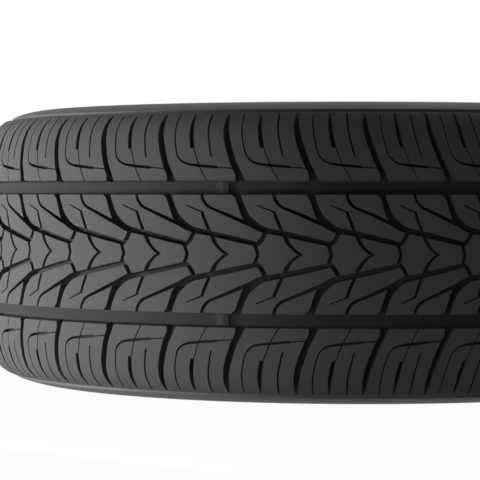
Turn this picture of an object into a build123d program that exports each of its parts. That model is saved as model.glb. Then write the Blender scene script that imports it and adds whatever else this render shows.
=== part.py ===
from build123d import *
from math import cos, radians, sin
import os

# A radial car tyre lying on its side, its axis along Z and its mid-plane at z = 0, in millimetres

# Size of the ring: the seat on the rim, and the height of the section above it
BEAD_SEAT_DIAMETER = 487.4
SECTION_HEIGHT = 125.3

# The flat crown, the arcs from it to the tread edge, and the sidewall arc to the widest point
CROWN_HALF_WIDTH = 51.0
SHOULDER_RADIUS = 135.5
SHOULDER_TURN = 23.2
TREAD_EDGE_RADIUS = 39.6
TREAD_EDGE_TURN = 40.9
SIDEWALL_RADIUS = 88.0

# Beads: how far apart their outer faces stand, and what sits on the rim and its flange
BEAD_SPREAD = 203.0
BEAD_BASE_WIDTH = 20.5
BEAD_HEEL = 5.0
BEAD_TOE = 2.5
FLANGE_HEIGHT = 17.5
FLANGE_FLARE = 4.5
RIM_RIB_HEIGHT = 24.0
RIM_RIB_REACH = 20.5

# Walls, from the liner to the outside
CROWN_THICKNESS = 17.5
SIDEWALL_THICKNESS = 9.0
LINER_SHOULDER_RADIUS = 45.0
FILLER_HEIGHT = 18.0
FILLER_INSET = 9.5

# Two grooves run round the tread, one on each side of the centre rib
MAIN_GROOVE_CENTRE = 57.25
MAIN_GROOVE_WIDTH = 12.5
MAIN_GROOVE_DEPTH = 8.5

# The carved pattern repeats in long, medium and short pitches, which break up the tread's hum
PITCH_RATIOS = {"L": 1.061, "M": 1.0, "S": 0.919}
PITCH_SEQUENCE = "MLLLLMSSMLMSSMLLMSSMMMLMSSLMMSSLMLLMSM"
FIRST_PITCH_AZIMUTH = -145.4

# Carved grooves cut square to the tread, each zone with a flat floor
CENTRE_DEPTH = 8.0
CENTRE_FLOOR_PITCH = 0.75
SHOULDER_DEPTH = 8.5
SHOULDER_FLOOR_SHARE = 0.68
CUT_CLEARANCE = 12.0

# Paths of the carved grooves. The first number counts pitches round the tread, and the second runs
# from 0 to 1: across half the centre rib, or from the main groove to the tread edge on a shoulder
V_GROOVE_PATH = [(0.055, 1.1), (0.215, 0.61), (0.4, 0.44), (1.36, 0.176)]
V_GROOVE_WIDTHS = (6.5, 3.5)
BRANCH_PATH = [(0.565, 1.1), (0.66, 0.83), (1.23, 0.55)]
BRANCH_WIDTHS = (2.2, 3.0)
LINK_PATH = [(1.335, 0.18), (1.47, 0.39)]
LINK_WIDTHS = (3.6, 3.6)
LATERAL_PATH = [(0.155, -0.1), (-0.055, 0.43), (-0.165, 0.97)]
LATERAL_WIDTHS = (5.2, 4.6)
SLOT_PATH = [(0.4, 0.468), (0.32, 0.97)]
SLOT_WIDTHS = (3.5, 3.5)

BEAD_RADIUS = BEAD_SEAT_DIAMETER / 2
OUTER_RADIUS = BEAD_RADIUS + SECTION_HEIGHT
BEAD_FACE = BEAD_SPREAD / 2
CENTRE_RIB_EDGE = MAIN_GROOVE_CENTRE - MAIN_GROOVE_WIDTH / 2
SHOULDER_RIB_EDGE = MAIN_GROOVE_CENTRE + MAIN_GROOVE_WIDTH / 2

PITCH_UNIT = 360 / sum(PITCH_RATIOS[kind] for kind in PITCH_SEQUENCE)
PITCH_ANGLES = [PITCH_RATIOS[kind] * PITCH_UNIT for kind in PITCH_SEQUENCE]


def azimuth(turn):
    """Angle round the axis of a place in the pitch sequence, such as 3.5 for half way along the fourth."""
    whole, part = divmod(turn, 1)
    count = len(PITCH_ANGLES)
    rounds, index = divmod(int(whole), count)
    return FIRST_PITCH_AZIMUTH + 360 * rounds + sum(PITCH_ANGLES[:index]) + part * PITCH_ANGLES[index]


def floor_plane(angle, radius, height, lean, depth):
    """Plane of a groove's floor, below the tread point at that radius and height, leaning with the tread."""
    around = Vector(1, 0, 0).rotate(Axis.Z, angle + 90)
    outward = Vector(cos(radians(lean)), 0, sin(radians(lean))).rotate(Axis.Z, angle)
    point = Vector(radius, 0, height).rotate(Axis.Z, angle)
    return Plane(origin=point - outward * depth, x_dir=around, z_dir=outward)


def carve(path, widths):
    """Face of a groove that follows a path of points and tapers from its first width to its last."""
    left = []
    right = []
    last = len(path) - 1
    for index, point in enumerate(path):
        along = path[min(index + 1, last)] - path[max(index - 1, 0)]
        across = Vector(-along.Y, along.X).normalized()
        half_width = (widths[0] + (widths[1] - widths[0]) * index / last) / 2
        left.append(point + across * half_width)
        right.append(point - across * half_width)
    Polygon(*left, *reversed(right), align=None)


with BuildPart() as tyre:
    with BuildSketch(Plane.XZ):
        with BuildLine():
            crown = Line((OUTER_RADIUS, 0), (OUTER_RADIUS, CROWN_HALF_WIDTH))
            shoulder = JernArc(crown @ 1, crown % 1, SHOULDER_RADIUS, SHOULDER_TURN)
            edge = JernArc(shoulder @ 1, shoulder % 1, TREAD_EDGE_RADIUS, TREAD_EDGE_TURN)
            sidewall_turn = 90 - SHOULDER_TURN - TREAD_EDGE_TURN
            sidewall = JernArc(edge @ 1, edge % 1, SIDEWALL_RADIUS, sidewall_turn)
            widest = sidewall @ 1
            rim_rib = (BEAD_RADIUS + RIM_RIB_HEIGHT, BEAD_FACE + RIM_RIB_REACH)
            TangentArc(widest, rim_rib, tangent=(-1, 0))
            bead = Polyline(
                rim_rib,
                (BEAD_RADIUS + FLANGE_HEIGHT, BEAD_FACE + FLANGE_FLARE),
                (BEAD_RADIUS + BEAD_HEEL, BEAD_FACE),
                (BEAD_RADIUS, BEAD_FACE - BEAD_HEEL),
                (BEAD_RADIUS, BEAD_FACE - BEAD_BASE_WIDTH + BEAD_TOE),
                (BEAD_RADIUS + BEAD_TOE, BEAD_FACE - BEAD_BASE_WIDTH),
                (BEAD_RADIUS + FILLER_HEIGHT, BEAD_FACE - FILLER_INSET),
            )
            liner_edge = widest.Y - SIDEWALL_THICKNESS
            liner_radius = OUTER_RADIUS - CROWN_THICKNESS
            liner = Line((liner_radius, 0), (liner_radius, liner_edge - LINER_SHOULDER_RADIUS))
            bend = JernArc(liner @ 1, (0, 1), LINER_SHOULDER_RADIUS, 90)
            TangentArc(bend @ 1, bead @ 1, tangent=(-1, 0))
            mirror(about=Plane.XZ)
        make_face()
        with Locations((OUTER_RADIUS, MAIN_GROOVE_CENTRE), (OUTER_RADIUS, -MAIN_GROOVE_CENTRE)):
            Rectangle(2 * MAIN_GROOVE_DEPTH, MAIN_GROOVE_WIDTH, mode=Mode.SUBTRACT)
    revolve(axis=Axis.Z)

    seat = shoulder @ SHOULDER_FLOOR_SHARE
    seat_lean = SHOULDER_FLOOR_SHARE * SHOULDER_TURN
    shoulder_width = (edge @ 1).Y - SHOULDER_RIB_EDGE
    for pitch in range(len(PITCH_SEQUENCE)):
        for side in (1, -1):
            middle = azimuth(pitch + CENTRE_FLOOR_PITCH)
            with BuildSketch(floor_plane(middle, OUTER_RADIUS, 0, 0, CENTRE_DEPTH)):
                for path, widths in (
                    (V_GROOVE_PATH, V_GROOVE_WIDTHS),
                    (BRANCH_PATH, BRANCH_WIDTHS),
                    (LINK_PATH, LINK_WIDTHS),
                ):
                    places = []
                    for turn, share in path:
                        swing = radians(azimuth(pitch + turn) - middle)
                        places.append(Vector(OUTER_RADIUS * sin(swing), side * share * CENTRE_RIB_EDGE))
                    carve(places, widths)

            middle = azimuth(pitch)
            plane = floor_plane(middle, seat.X, side * seat.Y, side * seat_lean, SHOULDER_DEPTH)
            with BuildSketch(plane):
                for path, widths in ((LATERAL_PATH, LATERAL_WIDTHS), (SLOT_PATH, SLOT_WIDTHS)):
                    places = []
                    for turn, share in path:
                        swing = radians(azimuth(pitch + turn) - middle)
                        height = SHOULDER_RIB_EDGE + share * shoulder_width - seat.Y
                        places.append(Vector(seat.X * sin(swing), side * height / cos(radians(seat_lean))))
                    carve(places, widths)
    extrude(amount=CENTRE_DEPTH + CUT_CLEARANCE, mode=Mode.SUBTRACT)

os.makedirs("parts", exist_ok=True)
tyre.part.label = "tyre"
export_step(tyre.part, "parts/tyre.step")
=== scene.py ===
# %% [markdown]
# A car tyre lies on its side, and the picture looks at its tread. The real one is cured in a mould as one
# piece of rubber, so tread, sidewalls, beads and liner become one closed mesh here too.
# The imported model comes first: it gives the tyre's size and place, and everything below keeps to it.

# %% Load the frame
from math import asin, atan2, cos, degrees, pi, radians, sin, tau

import bpy
import numpy as np
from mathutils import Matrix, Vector


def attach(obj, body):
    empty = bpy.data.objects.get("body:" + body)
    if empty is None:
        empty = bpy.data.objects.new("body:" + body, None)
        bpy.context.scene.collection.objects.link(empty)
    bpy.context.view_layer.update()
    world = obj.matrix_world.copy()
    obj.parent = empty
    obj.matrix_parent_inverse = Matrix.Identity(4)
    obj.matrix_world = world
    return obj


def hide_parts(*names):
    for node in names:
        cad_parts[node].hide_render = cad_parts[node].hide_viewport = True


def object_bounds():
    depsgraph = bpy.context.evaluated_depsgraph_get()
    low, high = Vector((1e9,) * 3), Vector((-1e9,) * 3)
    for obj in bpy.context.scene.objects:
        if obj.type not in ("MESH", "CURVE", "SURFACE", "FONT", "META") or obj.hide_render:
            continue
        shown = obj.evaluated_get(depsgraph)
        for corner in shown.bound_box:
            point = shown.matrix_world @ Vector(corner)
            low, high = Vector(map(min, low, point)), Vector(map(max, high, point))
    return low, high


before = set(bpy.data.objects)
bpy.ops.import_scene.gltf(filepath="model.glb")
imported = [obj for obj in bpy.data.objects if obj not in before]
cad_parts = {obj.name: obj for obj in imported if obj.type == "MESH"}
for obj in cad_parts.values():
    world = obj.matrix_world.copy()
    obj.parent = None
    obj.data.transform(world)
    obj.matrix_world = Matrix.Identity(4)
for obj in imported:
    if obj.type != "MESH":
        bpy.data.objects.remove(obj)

MM = 0.001
cad_low, cad_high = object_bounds()
OUTER_RADIUS = cad_high.x
print("tyre", round(2 * OUTER_RADIUS / MM, 1), "mm across,", round(2 * cad_high.z / MM, 1), "mm wide")

# %% [markdown]
# The tread is the band that meets the road. It could be carved on the round tyre, but then every cut would
# need its own direction. It is easier to carve while it lies flat, like a rubber mat. The mat is folded
# over the tyre's section afterwards, and a strip of such mats is bent round into a ring.
# For the fold, two functions walk over the section: a flat crown, a wide shoulder arc, and a tighter arc at
# the tread's edge. A place on the mat has a girth, measured across the tread from its middle, and a lift
# off its surface. In the section, x is the radius and y is the height above the mid-plane.

# %% The section of the tread
CROWN_HALF_WIDTH = 51.0 * MM
SHOULDER_RADIUS = 135.5 * MM
SHOULDER_TURN = radians(23.2)
EDGE_RADIUS = 39.6 * MM
EDGE_TURN = radians(40.9)
SHOULDER_GIRTH = CROWN_HALF_WIDTH + SHOULDER_RADIUS * SHOULDER_TURN
TREAD_GIRTH = SHOULDER_GIRTH + EDGE_RADIUS * EDGE_TURN


def outward(turn):
    """Direction in the section, turned by this angle from straight out towards the sidewall."""
    return Vector((cos(turn), sin(turn)))


shoulder_centre = Vector((OUTER_RADIUS - SHOULDER_RADIUS, CROWN_HALF_WIDTH))
edge_centre = shoulder_centre + (SHOULDER_RADIUS - EDGE_RADIUS) * outward(SHOULDER_TURN)


def girth_at(height):
    """Girth of the tread point at this height above the mid-plane."""
    if height <= CROWN_HALF_WIDTH:
        return height
    turn = asin((height - shoulder_centre.y) / SHOULDER_RADIUS)
    if turn <= SHOULDER_TURN:
        return CROWN_HALF_WIDTH + SHOULDER_RADIUS * turn
    turn = asin((height - edge_centre.y) / EDGE_RADIUS)
    return SHOULDER_GIRTH + EDGE_RADIUS * (turn - SHOULDER_TURN)


def on_section(girth, lift):
    """Radius and height of a place on the mat, once the mat is folded over the section."""
    if girth <= CROWN_HALF_WIDTH:
        return Vector((OUTER_RADIUS + lift, girth))
    turn = (girth - CROWN_HALF_WIDTH) / SHOULDER_RADIUS
    if turn <= SHOULDER_TURN:
        return shoulder_centre + (SHOULDER_RADIUS + lift) * outward(turn)
    turn = SHOULDER_TURN + (girth - SHOULDER_GIRTH) / EDGE_RADIUS
    return edge_centre + (EDGE_RADIUS + lift) * outward(turn)


print("the tread is", round(2 * TREAD_GIRTH / MM, 1), "mm from edge to edge, measured over its surface")

# %% [markdown]
# The pattern repeats 38 times round the tyre. Blocks of one length would hit the road in an even beat and
# hum, so real tyres mix long, medium and short pitches. Each length could have its own mat, but one mat,
# modelled for the medium pitch, will do for all, because its copies can be stretched.

# %% The pitches
PITCH_RATIOS = {"L": 1.061, "M": 1.0, "S": 0.919}
PITCH_SEQUENCE = "MLLLLMSSMLMSSMLLMSSMMMLMSSLMMSSLMLLMSM"
FIRST_PITCH_ANGLE = radians(-55.4)
PITCH = tau * OUTER_RADIUS / sum(PITCH_RATIOS[kind] for kind in PITCH_SEQUENCE)
print(len(PITCH_SEQUENCE), "pitches, the medium one", round(PITCH / MM, 1), "mm long")

# %% [markdown]
# The mat is the plain rubber before it is carved, and only the half above the mid-plane is needed. It
# starts as a grid with a few columns to the pitch, and one column more at each end for the cuts to run out
# in. A grid has even rows, but the section bends most on the shoulder, so the rows are moved closer together
# there. A Solidify modifier makes the grid a block, deep enough for every groove.

# %% The blank mat
COLUMNS = 7
SPARE_COLUMNS = 1
CROWN_ROWS = 4
SHOULDER_ROWS = 13
SHOULDER_ROWS_START = 47.0 * MM
MAT_EDGE = 122.4 * MM
MAT_DEPTH = 13.0 * MM


def only(*pieces):
    """Selects these pieces and nothing else, and makes the first one active."""
    bpy.ops.object.select_all(action="DESELECT")
    for piece in pieces:
        piece.select_set(True)
    bpy.context.view_layer.objects.active = pieces[0]


def apply_all(piece):
    """Applies a piece's modifiers from the top down."""
    only(piece)
    for modifier in list(piece.modifiers):
        bpy.ops.object.modifier_apply(modifier=modifier.name)


mat_girth = girth_at(MAT_EDGE)
all_columns = COLUMNS + 2 * SPARE_COLUMNS
rows = list(np.linspace(0, SHOULDER_ROWS_START, CROWN_ROWS + 1))
rows += list(np.linspace(SHOULDER_ROWS_START, mat_girth, SHOULDER_ROWS + 1)[1:])
bpy.ops.object.select_all(action="DESELECT")
bpy.ops.mesh.primitive_grid_add(x_subdivisions=all_columns, y_subdivisions=len(rows) - 1, size=1)
mat = bpy.context.object
mat.name = "tyre_tread"
for index, vertex in enumerate(mat.data.vertices):
    row, column = divmod(index, all_columns + 1)
    vertex.co = ((column - SPARE_COLUMNS) * PITCH / COLUMNS, rows[row], 0)
block = mat.modifiers.new("block", "SOLIDIFY")
block.thickness = MAT_DEPTH
block.offset = -1
apply_all(mat)
print("blank mat:", len(mat.data.polygons), "faces")

# %% [markdown]
# Grooves let water out from under the tread. In the mould, bars of steel leave them in the rubber, and here
# bars of the same shapes cut them. A bar could be a curve with a bevel, but a groove has a flat floor and
# its width and depth change, so a bar is a grid laid along its path at the floor, then extruded up through
# the tread. A path is written as a mould maker would read it off the tread. Each place says how far along it
# is, counted in pitches, how high above the mid-plane and how wide the groove is, both in millimetres. The
# depths, in millimetres too, are spread evenly over the places.

# %% Cutting bars
BAR_HEIGHT = 22.0 * MM
SHARPEST_MITRE = 0.5
PITCHES_IN_REACH = (-2, -1, 0, 1)
bars = []


def face_outwards(piece):
    """Turns the faces of a piece outwards."""
    only(piece)
    bpy.ops.object.mode_set(mode="EDIT")
    bpy.ops.mesh.select_all(action="SELECT")
    bpy.ops.mesh.normals_make_consistent(inside=False)
    bpy.ops.object.mode_set(mode="OBJECT")


def lay_bar(name, path, depths, pitch):
    """Adds a cutting bar for one groove, in the pitch of this number, to the bars."""
    count = len(path)
    places = [Vector(((along + pitch) * PITCH, girth_at(height * MM))) for along, height, _ in path]
    half_widths = [width * MM / 2 for _, _, width in path]
    floors = np.interp(np.linspace(0, 1, count), np.linspace(0, 1, len(depths)), depths) * MM
    bpy.ops.object.select_all(action="DESELECT")
    bpy.ops.mesh.primitive_grid_add(x_subdivisions=count - 1, y_subdivisions=1, size=1)
    bar = bpy.context.object
    bar.name = name
    for index in range(count):
        before = (places[index] - places[max(index - 1, 0)]).normalized()
        after = (places[min(index + 1, count - 1)] - places[index]).normalized()
        ahead = (before + after).normalized()
        mitre = max(ahead.dot(before), ahead.dot(after), SHARPEST_MITRE)
        across = Vector((-ahead.y, ahead.x)) * half_widths[index] / mitre
        for side, vertex in ((-1, bar.data.vertices[index]), (1, bar.data.vertices[count + index])):
            vertex.co = (*(places[index] + side * across), -floors[index])
    bpy.ops.object.mode_set(mode="EDIT")
    bpy.ops.mesh.select_all(action="SELECT")
    bpy.ops.mesh.extrude_region_move(TRANSFORM_OT_translate={"value": (0, 0, BAR_HEIGHT)})
    bpy.ops.object.mode_set(mode="OBJECT")
    face_outwards(bar)
    bars.append(bar)


def lay_bars(name, path, depths):
    """The same bar in each pitch from which it can reach into the mat."""
    for pitch in PITCHES_IN_REACH:
        lay_bar(name, path, depths, pitch)
    print(name, "over", len(path), "places, down to", max(depths), "mm")


print("bars stand", round(BAR_HEIGHT / MM, 1), "mm high")

# %% [markdown]
# The centre rib is cut into arrowheads. A wide arm starts at the main groove and sweeps towards the middle,
# where a short link joins it to the next arm and a pointed cut joins the two halves. A thin branch, a kinked
# cut and an arrow-shaped cut divide the blocks. The arms grow shallow towards the middle, which keeps the
# rib stiff. Paths that go a little past the mid-plane meet their mirror images there.

# %% Arms, links and points of the centre rib
ARM = [
    (0.06, 55, 9.2), (0.083, 51.6, 8.0), (0.097, 49.8, 5.8), (0.124, 45, 5.5), (0.152, 40, 5.7),
    (0.183, 35.4, 6.2), (0.212, 32, 6.6), (0.25, 29, 7.0), (0.30, 26.2, 7.1), (0.35, 24, 6.3),
    (0.40, 22.3, 5.8), (0.45, 21.1, 5.5), (0.50, 20.2, 5.2), (0.60, 19.1, 4.9), (0.75, 17.3, 5.0),
    (1.0, 13.8, 4.9), (1.2, 11, 4.5), (1.355, 8.9, 4.0),
]
ARM_DEPTHS = (8.2, 8.2, 8.0, 7.8, 7.2, 6.4, 5.8, 5.4)
lay_bars("arm", ARM, ARM_DEPTHS)

LINK = [(1.35, 8.4, 3.7), (1.375, 9.4, 3.9), (1.415, 12, 4.0), (1.447, 15.5, 4.0), (1.475, 19.5, 4.0)]
LINK_DEPTHS = (5.3, 5.8)
lay_bars("link", LINK, LINK_DEPTHS)

CENTRE_POINT = [(0.328, 8.8, 3.4), (0.352, 4, 3.3), (0.373, 0, 3.1), (0.39, -3.2, 3.1)]
CENTRE_POINT_DEPTHS = (5.2, 5.2)
lay_bars("centre_point", CENTRE_POINT, CENTRE_POINT_DEPTHS)

# %% Cuts in the centre rib's blocks
BRANCH = [
    (0.575, 54, 3.5), (0.587, 51, 2.9), (0.60, 47.5, 2.8), (0.627, 44.5, 2.8), (0.663, 41.8, 2.7),
    (0.71, 39.9, 2.5), (0.80, 37.6, 2.5), (0.90, 35.1, 2.8), (1.0, 32.4, 3.1), (1.1, 29.7, 3.3),
    (1.22, 26.6, 3.6), (1.3, 24.8, 3.3),
]
BRANCH_DEPTHS = (7.3, 7.2, 6.8)
lay_bars("branch", BRANCH, BRANCH_DEPTHS)

KINK = [
    (0.35, 42.3, 1.0), (0.47, 39.3, 1.2), (0.58, 36.6, 1.4), (0.59, 36.2, 2.5), (0.62, 31, 2.8),
    (0.657, 25.4, 2.9), (0.69, 21, 2.9), (0.71, 18.3, 2.9),
]
KINK_DEPTHS = (4.0, 5.0, 5.8, 5.6, 4.4)
lay_bars("kink", KINK, KINK_DEPTHS)

ARROW = [
    (0.73, 17.5, 4.4), (0.747, 14, 4.2), (0.763, 11.3, 3.8), (0.8, 7.7, 3.1), (0.832, 5.4, 2.8),
    (0.868, 3.2, 2.7), (0.914, 1.1, 2.4), (0.965, -0.2, 1.8),
]
ARROW_DEPTHS = (4.8, 4.8)
lay_bars("arrow", ARROW, ARROW_DEPTHS)

# %% [markdown]
# The shoulder blocks are parted by lateral grooves, which open with a flare at the main groove and run out
# to nothing at the tread's edge. Between them lie a short slot, a thin slot and hairline cuts, the sipes,
# which let a block bend. A sipe can be as narrow as a millimetre. It could be a dark line in the material,
# but as a real cut it also shows in the exported mesh.

# %% Lateral grooves and slots of the shoulders
LATERAL = [
    (0.13, 58, 9.4), (0.124, 63, 8.8), (0.109, 66, 6.6), (0.092, 70, 5.6), (0.045, 75, 5.5),
    (0.0085, 80, 5.5), (-0.055, 90, 5.8), (-0.113, 100, 5.6), (-0.145, 110, 4.9), (-0.151, 115, 4.1),
    (-0.155, 119, 3.2), (-0.158, 122, 2.2),
]
LATERAL_DEPTHS = (8.2, 8.2, 8.2, 8.2, 8.2, 8.2, 8.2, 8.0, 7.0, 5.2, 3.0, -0.2)
lay_bars("lateral", LATERAL, LATERAL_DEPTHS)

SLOT = [
    (0.404, 91.6, 3.3), (0.389, 95, 3.8), (0.368, 100, 3.9), (0.351, 105, 3.8), (0.339, 110, 3.4),
    (0.331, 115, 2.8), (0.327, 118.5, 2.2), (0.324, 121.5, 1.6),
]
SLOT_DEPTHS = (7.6, 7.6, 7.4, 7.0, 6.2, 4.6, 2.6, -0.2)
lay_bars("slot", SLOT, SLOT_DEPTHS)

# %% Sipes and thin slots of the shoulders
SLOT_SIPE = [
    (0.405, 94, 1.0), (0.425, 91.5, 1.0), (0.465, 86, 1.0), (0.505, 79.5, 1.0), (0.53, 76, 1.0),
    (0.575, 71, 1.0), (0.605, 68, 1.0), (0.665, 62, 1.0),
]
SLOT_SIPE_DEPTHS = (5.0, 5.0)
lay_bars("slot_sipe", SLOT_SIPE, SLOT_SIPE_DEPTHS)

CURVED_SIPE = [
    (0.078, 121, 1.3), (0.083, 114, 1.3), (0.10, 104, 1.3), (0.13, 96, 1.3), (0.17, 88, 1.3),
    (0.20, 84, 1.4), (0.25, 80.9, 1.6), (0.30, 79.1, 1.8), (0.36, 77.9, 2.1), (0.44, 77.1, 2.4),
    (0.53, 76.5, 2.7), (0.79, 75, 2.7), (0.80, 74.95, 1.1), (1.04, 73.7, 1.1),
]
CURVED_SIPE_DEPTHS = (1.0, 3.6, 5.0, 5.2, 5.2, 5.2, 5.2)
lay_bars("curved_sipe", CURVED_SIPE, CURVED_SIPE_DEPTHS)

THIN_SLOT = [
    (0.70, 84, 1.5), (0.672, 88.5, 1.5), (0.65, 94, 1.5), (0.625, 100, 1.5), (0.607, 105, 1.6),
    (0.596, 110, 1.7), (0.59, 115, 1.8), (0.587, 118.5, 1.8), (0.586, 121.6, 1.6),
]
THIN_SLOT_DEPTHS = (5.4, 5.4, 5.4, 5.4, 5.4, 5.2, 4.8, 3.4, 0.6)
lay_bars("thin_slot", THIN_SLOT, THIN_SLOT_DEPTHS)

# %% [markdown]
# The main groove runs all the way round between the centre rib and the shoulder. It is a little wider at the
# top than at its floor, so that the mould lets go of it. One straight bar passes through the whole mat, and
# its upper corners are spread.

# %% The main groove
MAIN_GROOVE_CENTRE = 57.25
MAIN_GROOVE_FLOOR = 11.0
MAIN_GROOVE_DEPTH = 8.5
MAIN_GROOVE_DRAFT = 1.36

MAIN_GROOVE = [(-0.5, MAIN_GROOVE_CENTRE, MAIN_GROOVE_FLOOR), (1.5, MAIN_GROOVE_CENTRE, MAIN_GROOVE_FLOOR)]
lay_bar("main_groove", MAIN_GROOVE, (MAIN_GROOVE_DEPTH, MAIN_GROOVE_DEPTH), 0)
groove_girth = girth_at(MAIN_GROOVE_CENTRE * MM)
for vertex in bars[-1].data.vertices:
    if vertex.co.z > 0:
        vertex.co.y = groove_girth + MAIN_GROOVE_DRAFT * (vertex.co.y - groove_girth)
print("main groove", MAIN_GROOVE_FLOOR, "mm wide at its floor,", MAIN_GROOVE_DEPTH, "mm deep")

# %% [markdown]
# Now the bars cut the mat. Each could have its own Boolean modifier, but dozens of cuts in a row let small
# errors add up. So all bars are joined into one cutter, and one exact Boolean takes it away.

# %% Carve the mat
only(*bars)
bpy.ops.object.join()
cutter = bpy.context.object
carve = mat.modifiers.new("carve", "BOOLEAN")
carve.object = cutter
carve.operation = "DIFFERENCE"
carve.solver = "EXACT"
carve.use_self = True
apply_all(mat)
bpy.data.objects.remove(cutter)
print("carved mat:", len(mat.data.polygons), "faces")

# %% [markdown]
# The tyre's tile is one pitch of the mat. Bisecting at each column keeps the long walls and floors short
# enough to follow the bend later, and the two outer cuts throw away what lies beyond the pitch. Then the
# underside and the two long sides go, so that only the tread's skin is left.

# %% One pitch of tread skin
NEAR = 0.01 * MM


def bisect_at(along, **discard):
    """In edit mode, cuts the whole mesh across the tread at this distance along it."""
    bpy.ops.mesh.select_all(action="SELECT")
    bpy.ops.mesh.bisect(plane_co=(along, 0, 0), plane_no=(1, 0, 0), threshold=NEAR, **discard)


def select_where(piece, kind, wanted):
    """In edit mode, selects those faces or edges of the piece that are wanted, and no others."""
    bpy.ops.mesh.select_mode(type=kind)
    bpy.ops.mesh.select_all(action="DESELECT")
    bpy.ops.object.mode_set(mode="OBJECT")
    elements = piece.data.polygons if kind == "FACE" else piece.data.edges
    for element in elements:
        element.select = wanted(element)
    bpy.ops.object.mode_set(mode="EDIT")


def off_the_skin(face):
    """Whether a face lies under the mat or on one of its two long sides."""
    under = face.center.z < NEAR - MAT_DEPTH
    inner_side = abs(face.center.y) < NEAR
    outer_side = abs(face.center.y - mat_girth) < NEAR
    return under or inner_side or outer_side


only(mat)
bpy.ops.object.mode_set(mode="EDIT")
for column in range(COLUMNS + 1):
    bisect_at(column * PITCH / COLUMNS, clear_inner=column == 0, clear_outer=column == COLUMNS)
select_where(mat, "FACE", off_the_skin)
bpy.ops.mesh.delete(type="FACE")
bpy.ops.mesh.select_mode(type="VERT")
bpy.ops.mesh.select_all(action="SELECT")
bpy.ops.mesh.remove_doubles(threshold=NEAR)
bpy.ops.object.mode_set(mode="OBJECT")
print("tread skin of one pitch:", len(mat.data.polygons), "faces")

# %% [markdown]
# Now the skin is folded over the section. It becomes a straight bar with the tyre's profile: x runs along
# the tread, y is the depth below the crown and z is the height above the mid-plane. A lattice or a curve
# could bend it, but moving each vertex by the section's own formula is exact. An attribute keeps how deep in
# a groove each face lies, and the material uses it to paint shade into the grooves, darkest on their floors.

# %% Fold the skin over the section
FULL_SHADE_DEPTH = 4.5 * MM

# Painted shade in the grooves: 0 on the tread's surface, rising to 1 at the depth set above and deeper
painted_groove_shade = mat.data.attributes.new("painted_groove_shade", "FLOAT", "FACE")
for face in mat.data.polygons:
    painted_groove_shade.data[face.index].value = min(max(-face.center.z / FULL_SHADE_DEPTH, 0), 1)
for vertex in mat.data.vertices:
    radius, height = on_section(vertex.co.y, vertex.co.z)
    vertex.co = (vertex.co.x, OUTER_RADIUS - radius, height)
drop = max(vertex.co.y for vertex in mat.data.vertices)
print("shoulder drops", round(drop / MM, 1), "mm to the tread's edge")

# %% [markdown]
# The sidewall, the bead that grips the rim and the airtight liner have no pattern, so they are drawn as one
# line in the section. The line goes up a small step at the tread's edge, down the sidewall to the rib that
# guards the rim, round the bead and back up the liner to the middle. Round stretches are arcs.

# %% Sizes and arcs for the line
SIDEWALL_RADIUS = 88.0 * MM
SIDEWALL_THICKNESS = 9.0 * MM
CROWN_THICKNESS = 17.5 * MM
LINER_RADIUS = OUTER_RADIUS - CROWN_THICKNESS
LINER_BEND = 45.0 * MM
BEAD_RADIUS = 243.7 * MM
BEAD_FACE = 101.5 * MM
RIM_RIB_HEIGHT = 24.0 * MM
RIM_RIB_REACH = 20.5 * MM

# Points of the step, as radius and height, and of the bead, as distances out from the rim's seat and up
# from the bead's face, in millimetres
EDGE_STEP = ((342.0, 122.6), (340.6, 122.3), (336.0, 122.3), (335.5, 122.8), (335.3, 125.7))
BEAD = ((17.5, 4.5), (5, 0), (0, -5), (0, -18), (2.5, -20.5), (18, -9.5))

# Degrees of the sidewall's arc that the step takes up, and how many points each arc has
EDGE_STEP_TURN = 2.5
SIDEWALL_POINTS = 8
LOWER_SIDEWALL_POINTS = 7
LINER_POINTS = 6
LINER_BEND_POINTS = 7


def arc(centre, radius, start, end, count):
    """Points along an arc in the section, without its first one. Angles are in degrees from straight out."""
    turns = [radians(start + (end - start) * step / count) for step in range(1, count + 1)]
    return [centre + radius * outward(turn) for turn in turns]


def arc_to(start, end, count):
    """Points along an arc that leaves start straight towards the axis and reaches end, which lies lower."""
    step = end - start
    radius = step.length_squared / (-2 * step.y)
    centre = start - Vector((0, radius))
    finish = degrees(atan2(end.y - centre.y, end.x - centre.x))
    return arc(centre, radius, 90, finish, count)


print("bead seat", round(2 * BEAD_RADIUS / MM, 1), "mm across, liner", round(2 * LINER_RADIUS / MM, 1), "mm")

# %% The line of the sidewall, bead and liner
edge_turn = SHOULDER_TURN + EDGE_TURN
sidewall_centre = on_section(TREAD_GIRTH, 0) - SIDEWALL_RADIUS * outward(edge_turn)
widest = sidewall_centre + Vector((0, SIDEWALL_RADIUS))
rim_rib = Vector((BEAD_RADIUS + RIM_RIB_HEIGHT, BEAD_FACE + RIM_RIB_REACH))

line = [Vector((radius * MM, height * MM)) for radius, height in EDGE_STEP]
line += arc(sidewall_centre, SIDEWALL_RADIUS, degrees(edge_turn) + EDGE_STEP_TURN, 90, SIDEWALL_POINTS)
line += arc_to(widest, rim_rib, LOWER_SIDEWALL_POINTS)
line += [Vector((BEAD_RADIUS + out * MM, BEAD_FACE + up * MM)) for out, up in BEAD]

liner_edge = widest.y - SIDEWALL_THICKNESS
liner_top = Vector((LINER_RADIUS - LINER_BEND, liner_edge))
liner_flat = liner_edge - LINER_BEND
lower_liner = arc_to(liner_top, line[-1], LINER_POINTS)
line += list(reversed(lower_liner[:-1])) + [liner_top]
line += arc(liner_top - Vector((0, LINER_BEND)), LINER_BEND, 90, 0, LINER_BEND_POINTS)
line += [Vector((LINER_RADIUS, liner_flat / 2)), Vector((LINER_RADIUS, 0))]
print("the line has", len(line), "points")

# %% [markdown]
# The line could be spun into a ring of its own, but then its edge would have to be sewn to the tread's. So
# the edge of the tread itself is extruded from point to point along the line, and tread and sidewall share
# their vertices from the start.

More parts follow.
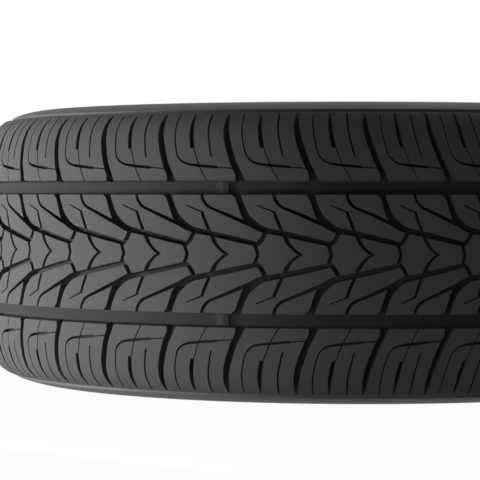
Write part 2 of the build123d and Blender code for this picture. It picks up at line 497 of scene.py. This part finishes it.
# %% Extrude the tread's edge along the line
mat_edge = on_section(mat_girth, 0)
first_place = Vector((OUTER_RADIUS - mat_edge.x, mat_edge.y))


def on_the_edge(edge):
    """Whether both ends of an edge of the mesh lie on the edge of the tread."""
    ends = [mat.data.vertices[index].co for index in edge.vertices]
    return all((Vector((end.y, end.z)) - first_place).length < NEAR for end in ends)


only(mat)
bpy.ops.object.mode_set(mode="EDIT")
select_where(mat, "EDGE", on_the_edge)
last = first_place
for point in line:
    target = Vector((OUTER_RADIUS - point.x, point.y))
    bpy.ops.mesh.extrude_edges_move(TRANSFORM_OT_translate={"value": (0, *(target - last))})
    last = target
bpy.ops.object.mode_set(mode="OBJECT")
print("half tile:", len(mat.data.polygons), "faces")

# %% [markdown]
# The tread's two halves mirror each other, so that water is led out to both sides. The second half could
# be modelled as well, but a Mirror modifier makes it from the first and closes the seam between them.

# %% The full tile
mirror = mat.modifiers.new("mirror", "MIRROR")
mirror.use_axis = (False, False, True)
mirror.merge_threshold = NEAR
apply_all(mat)
face_outwards(mat)
print("full tile:", len(mat.data.polygons), "faces")

# %% [markdown]
# Wear bars are low bridges across the main groove. When the tread has worn down to them, the tyre is done.
# They could be separate blocks, but the real ones are part of the rubber, so they are raised from the floor
# on a copy of the tile. Two bisects part off a stretch of the floor, which is extruded, and its first edge is
# moved on to make a ramp.

# %% A tile with wear bars
WEAR_BAR_HEIGHT = 1.8 * MM
WEAR_BAR_START = 0.785 * PITCH
WEAR_BAR_END = 0.93 * PITCH
WEAR_BAR_RAMP = 3.0 * MM
FLOOR_TOLERANCE = 0.5 * MM
FACING_OUT = 0.9

floor_depth = OUTER_RADIUS - on_section(groove_girth, -MAIN_GROOVE_DEPTH * MM).x


def under_wear_bar(face):
    """Whether a face is in the stretch of the main groove's floor that is raised."""
    in_stretch = WEAR_BAR_START < face.center.x < WEAR_BAR_END
    on_floor = abs(face.center.y - floor_depth) < FLOOR_TOLERANCE and abs(face.normal.y) > FACING_OUT
    in_groove = abs(abs(face.center.z) - MAIN_GROOVE_CENTRE * MM) < MAIN_GROOVE_FLOOR * MM / 2
    return in_stretch and on_floor and in_groove


only(mat)
bpy.ops.object.duplicate()
wear_mat = bpy.context.object
bpy.ops.object.mode_set(mode="EDIT")
bisect_at(WEAR_BAR_START)
bisect_at(WEAR_BAR_END)
select_where(wear_mat, "FACE", under_wear_bar)
bpy.ops.mesh.extrude_region_move(TRANSFORM_OT_translate={"value": (0, -WEAR_BAR_HEIGHT, 0)})
bpy.ops.object.mode_set(mode="OBJECT")
for vertex in wear_mat.data.vertices:
    if vertex.select and vertex.co.x < WEAR_BAR_START + NEAR:
        vertex.co.x += WEAR_BAR_RAMP
print(sum(face.select for face in wear_mat.data.polygons), "floor faces raised as wear bars")

# %% [markdown]
# Copies of the tile are stretched to their pitches, set end to end and joined. An Array modifier would be
# shorter, but its copies are all alike, and here three lengths and two kinds of tile are mixed.

# %% A strip of all pitches
WEAR_BAR_PITCHES = (3, 9, 16, 22, 29, 35)

start = FIRST_PITCH_ANGLE * OUTER_RADIUS
copies = []
for number, kind in enumerate(PITCH_SEQUENCE):
    pattern = wear_mat if number in WEAR_BAR_PITCHES else mat
    copy = pattern.copy()
    copy.data = pattern.data.copy()
    bpy.context.collection.objects.link(copy)
    copy.scale.x = PITCH_RATIOS[kind]
    copy.location.x = start
    start += PITCH_RATIOS[kind] * PITCH
    copies.append(copy)
bpy.data.objects.remove(wear_mat)
bpy.data.objects.remove(mat)
only(*copies)
bpy.ops.object.transform_apply(location=True, rotation=True, scale=True)
bpy.ops.object.join()
tyre = bpy.context.object
tyre.name = "tyre_rubber"
print("strip of", len(copies), "pitches:", len(tyre.data.polygons), "faces")

# %% [markdown]
# A Simple Deform modifier bends the strip through a full turn, so that its two ends meet. Merging the doubles
# then closes the joints between the pitches. The count of vertices on open edges shows whether it worked: on
# a closed mesh there are none.

# %% Bend the strip into a ring
SMOOTH_ANGLE = radians(35)

bend = tyre.modifiers.new("bend", "SIMPLE_DEFORM")
bend.deform_method = "BEND"
bend.deform_axis = "Z"
bend.angle = tau
apply_all(tyre)
bpy.ops.object.mode_set(mode="EDIT")
bpy.ops.mesh.select_mode(type="VERT")
bpy.ops.mesh.select_all(action="SELECT")
bpy.ops.transform.translate(value=(0, -OUTER_RADIUS, 0))
bpy.ops.mesh.remove_doubles(threshold=NEAR)
bpy.ops.mesh.normals_make_consistent(inside=False)
bpy.ops.mesh.select_all(action="DESELECT")
bpy.ops.mesh.select_non_manifold()
bpy.ops.object.mode_set(mode="OBJECT")
on_open_edges = sum(vertex.select for vertex in tyre.data.vertices)
print("tyre:", len(tyre.data.vertices), "vertices,", on_open_edges, "of them on open edges")
only(tyre)
bpy.ops.object.shade_smooth_by_angle(angle=SMOOTH_ANGLE)
tyre.data.calc_loop_triangles()
print(len(tyre.data.loop_triangles), "triangles")

# %% [markdown]
# A material is a tree of nodes. Adding and linking each node by hand takes many lines, so a small class wraps
# one output socket of a node. Sums and products of such values add Math nodes, colours are mixed by a Mix
# node, and one method adds a node of any other kind.

# %% Shader expressions
# Numbers of a Mix node's colour sockets, because its sockets for numbers and colours share their names
MIX_FIRST_COLOUR = 6
MIX_SECOND_COLOUR = 7
MIX_COLOUR = 2


class Shade:
    """An output socket in a node tree. Sums and products of such values add Math nodes."""

    def __init__(self, tree, socket=None):
        self.tree = tree
        self.socket = socket

    def node(self, kind, output, settings=None, sockets=None):
        """Adds a node of this kind, sets it up, links or sets its sockets and returns one of its outputs."""
        node = self.tree.nodes.new(kind)
        for name, value in (settings or {}).items():
            setattr(node, name, value)
        for name, value in (sockets or {}).items():
            if isinstance(value, Shade):
                value.feed(node.inputs[name])
            else:
                node.inputs[name].default_value = value
        return Shade(self.tree, node.outputs[output])

    def feed(self, socket):
        """Links this value to a socket of another node."""
        self.tree.links.new(self.socket, socket)

    def mix(self, first, second):
        """A Mix node, from the first colour where this value is 0 to the second where it is 1."""
        sockets = {"Factor": self, MIX_FIRST_COLOUR: first, MIX_SECOND_COLOUR: second}
        return self.node("ShaderNodeMix", MIX_COLOUR, {"data_type": "RGBA"}, sockets)

    def math(self, operation, first, second):
        """One Math node on two values."""
        return self.node("ShaderNodeMath", "Value", {"operation": operation}, {0: first, 1: second})

    def __add__(self, other):
        return self.math("ADD", self, other)

    def __radd__(self, other):
        return self.math("ADD", other, self)

    def __sub__(self, other):
        return self.math("SUBTRACT", self, other)

    def __rsub__(self, other):
        return self.math("SUBTRACT", other, self)

    def __mul__(self, other):
        return self.math("MULTIPLY", self, other)

    def __rmul__(self, other):
        return self.math("MULTIPLY", other, self)


print("shader expressions ready")

# %% [markdown]
# Tyre rubber is nearly black and a little paler where the mould's release agent dulls it. Shade is painted
# into the grooves, darkest on their floors. The rubber's gloss changes from place to place, so a soft noise
# drives tone and roughness, and a fine one the grain. The tread is dull from the mould, while the sidewall is
# smoother and shows a sheen where it is seen at a flat angle. Two materials could part them, but here the
# distance from the axis does it in one.

# %% Tone of the rubber, and painted shade in the grooves
RUBBER_DARK = (0.052, 0.052, 0.053, 1)
RUBBER_PALE = (0.062, 0.062, 0.063, 1)
# Painted shade: the colour of the grooves' floors, darker than the rubber only because shade falls there
PAINTED_GROOVE_SHADE = (0.02, 0.02, 0.021, 1)
CLOUDS = {"Scale": 14.0, "Detail": 4.0, "Roughness": 0.6}

rubber = bpy.data.materials.new("tyre_rubber")
rubber.use_nodes = True
surface = rubber.node_tree.nodes["Principled BSDF"]
rubber_nodes = Shade(rubber.node_tree)
position = rubber_nodes.node("ShaderNodeTexCoord", "Object")
clouds = rubber_nodes.node("ShaderNodeTexNoise", "Fac", sockets={"Vector": position, **CLOUDS})
# Painted shade: the attribute from the fold mixes the rubber's tone towards the darker groove colour, the
# deeper in a groove the more
groove_shade = rubber_nodes.node("ShaderNodeAttribute", "Fac", {"attribute_name": "painted_groove_shade"})
tone_and_groove_shade = groove_shade.mix(clouds.mix(RUBBER_DARK, RUBBER_PALE), PAINTED_GROOVE_SHADE)
tone_and_groove_shade.feed(surface.inputs["Base Color"])
print("tone from", RUBBER_DARK[:3], "to", RUBBER_PALE[:3], "and", PAINTED_GROOVE_SHADE[:3], "in the grooves")

# %% Gloss and grain of the rubber
GRAIN = {"Scale": 900.0, "Detail": 2.0}
GRAIN_STRENGTH = 0.12
GRAIN_HEIGHT = 0.4 * MM
GRAIN_ROUGHNESS = 0.04
TREAD_ROUGHNESS = 0.82
TREAD_CLOUD_ROUGHNESS = 0.08
SIDEWALL_ROUGHNESS = 0.53
SIDEWALL_CLOUD_ROUGHNESS = 0.1
SIDEWALL_TOP = 341.5 * MM
ACROSS_AXIS = (1, 1, 0)
RUBBER_SPECULAR = 0.2

grain = rubber_nodes.node("ShaderNodeTexNoise", "Fac", sockets={"Vector": position, **GRAIN})
flattened = {0: position, 1: ACROSS_AXIS}
from_axis = rubber_nodes.node("ShaderNodeVectorMath", "Vector", {"operation": "MULTIPLY"}, flattened)
distance = rubber_nodes.node("ShaderNodeVectorMath", "Value", {"operation": "LENGTH"}, {0: from_axis})
on_sidewall = rubber_nodes.math("LESS_THAN", distance, SIDEWALL_TOP)
tread_gloss = TREAD_ROUGHNESS + TREAD_CLOUD_ROUGHNESS * clouds + GRAIN_ROUGHNESS * grain
sidewall_gloss = SIDEWALL_ROUGHNESS + SIDEWALL_CLOUD_ROUGHNESS * clouds + GRAIN_ROUGHNESS * grain
gloss = tread_gloss + on_sidewall * (sidewall_gloss - tread_gloss)
gloss.feed(surface.inputs["Roughness"])

relief = {"Strength": GRAIN_STRENGTH, "Distance": GRAIN_HEIGHT, "Height": grain}
rubber_nodes.node("ShaderNodeBump", "Normal", sockets=relief).feed(surface.inputs["Normal"])
surface.inputs["Specular IOR Level"].default_value = RUBBER_SPECULAR
tyre.data.materials.clear()
tyre.data.materials.append(rubber)
print("rubber:", len(rubber.node_tree.nodes), "nodes")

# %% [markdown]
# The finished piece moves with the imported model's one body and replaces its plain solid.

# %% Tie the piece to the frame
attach(tyre, "root")
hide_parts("tyre")
print(tyre.name, "rides on root")

# %% [markdown]
# The stage is a pale floor. The photograph's ground is white, so what the camera sees of the floor is mostly
# plain white, with a faint shadow left in it. More light would make it white too, but it would fall on the
# rubber. A Light Path node tells the rays of the camera, of reflections and of glass from those that carry
# light, and only the first are shown the white.

# %% Floor
FLOOR_SIZE = 9.0
FLOOR_COLOUR = (0.8, 0.8, 0.8, 1)
FLOOR_ROUGHNESS = 0.9
WHITE = (1, 1, 1, 1)
GROUND_WHITE = 0.96


def shown_white(tree_nodes):
    """1 for the rays that show the background: the camera's, and those of reflections and of glass."""
    shown = tree_nodes.node("ShaderNodeLightPath", "Is Camera Ray")
    for ray in ("Is Glossy Ray", "Is Transmission Ray"):
        shown = tree_nodes.math("MAXIMUM", shown, tree_nodes.node("ShaderNodeLightPath", ray))
    return shown


bpy.ops.object.select_all(action="DESELECT")
bpy.ops.mesh.primitive_plane_add(size=FLOOR_SIZE, location=(0, 0, cad_low.z))
floor = bpy.context.object
floor.name = "floor"
pale = bpy.data.materials.new("pale_floor")
pale.use_nodes = True
paint = pale.node_tree.nodes["Principled BSDF"]
paint.inputs["Base Color"].default_value = FLOOR_COLOUR
paint.inputs["Roughness"].default_value = FLOOR_ROUGHNESS
floor_nodes = Shade(pale.node_tree)
painted = Shade(pale.node_tree, paint.outputs["BSDF"])
white = floor_nodes.node("ShaderNodeEmission", "Emission", sockets={"Color": WHITE, "Strength": 1.0})
layers = {"Fac": GROUND_WHITE * shown_white(floor_nodes), 1: painted, 2: white}
ground = floor_nodes.node("ShaderNodeMixShader", "Shader", sockets=layers)
ground.feed(pale.node_tree.nodes["Material Output"].inputs["Surface"])
floor.data.materials.append(pale)
print("floor at", round(cad_low.z / MM, 1), "mm")

# %% [markdown]
# The sky has the same trick: it is plain white to the rays that show the background, and gives the tyre only
# a little light from all round, so that no shadow is quite black.

# %% Sky
SKY_LIGHT = 0.05

world = bpy.data.worlds.new("studio")
bpy.context.scene.world = world
world.use_nodes = True
sky = world.node_tree.nodes["Background"]
sky.inputs["Color"].default_value = WHITE
strength = SKY_LIGHT + (1 - SKY_LIGHT) * shown_white(Shade(world.node_tree))
strength.feed(sky.inputs["Strength"])
print("sky gives", SKY_LIGHT, "of its white as light")

# %% [markdown]
# The tread is lit by a soft box far out on its left, so it is bright where it turns towards that side and
# falls off to the right. Two low strips, one on the left and one in front, stand in for the light that a
# white studio floor throws back up. A box behind on the right lights the far side, where the picture's
# view doesn't reach, and a weak one above keeps the upper sidewall from going black. Sun or point lamps
# would leave hard shadows in the grooves, so all are area lamps.

# %% Lamps
MIDDLE = (0, 0, 0)


def soft_box(name, place, target, size, power):
    """A rectangular area lamp at a place, aimed at a target, and not seen itself."""
    bpy.ops.object.light_add(type="AREA", location=place)
    lamp = bpy.context.object
    lamp.name = name
    lamp.data.shape = "RECTANGLE"
    lamp.data.size, lamp.data.size_y = size
    lamp.data.energy = power
    lamp.visible_camera = False
    lamp.rotation_euler = (Vector(target) - Vector(place)).to_track_quat("-Z", "Y").to_euler()
    print(name, power, "W")


soft_box("left_box", place=(-4.0, -0.25, 0.03), target=MIDDLE, size=(0.8, 0.3), power=116)
soft_box("left_strip", place=(-1.5, -0.16, -0.1), target=(0, 0, 0.03), size=(0.4, 0.05), power=23.3)
soft_box("front_strip", place=(-0.4, -0.55, -0.128), target=(-0.15, -0.25, 0), size=(0.8, 0.03), power=1.37)
soft_box("right_box", place=(2.7, 1.6, 0.9), target=MIDDLE, size=(1.2, 1.2), power=60)
soft_box("top_box", place=(0, 0.4, 2.6), target=MIDDLE, size=(2.4, 2.4), power=12)

# %% [markdown]
# The camera stands in front of the tread, level with its upper part, with a long lens. The tyre's axis is
# right of the picture's middle, so the camera is turned a little to the left. The Standard view transform
# shows colours as they are written.

# %% Camera
CAMERA_DISTANCE = 2.3586
CAMERA_HEIGHT = 0.0526
CAMERA_LENS = 174.99
SENSOR_WIDTH = 36
TURN_LEFT = radians(2.6135)
TILT_DOWN = radians(1.1535)
ROLL = radians(0.0817)

bpy.ops.object.camera_add(
    location=(0, -CAMERA_DISTANCE, CAMERA_HEIGHT),
    rotation=(pi / 2 - TILT_DOWN, -ROLL, TURN_LEFT),
)
camera = bpy.context.object
camera.data.lens = CAMERA_LENS
camera.data.sensor_width = SENSOR_WIDTH
bpy.context.scene.camera = camera
bpy.context.scene.view_settings.view_transform = "Standard"
print("camera", round(CAMERA_DISTANCE, 2), "m away")
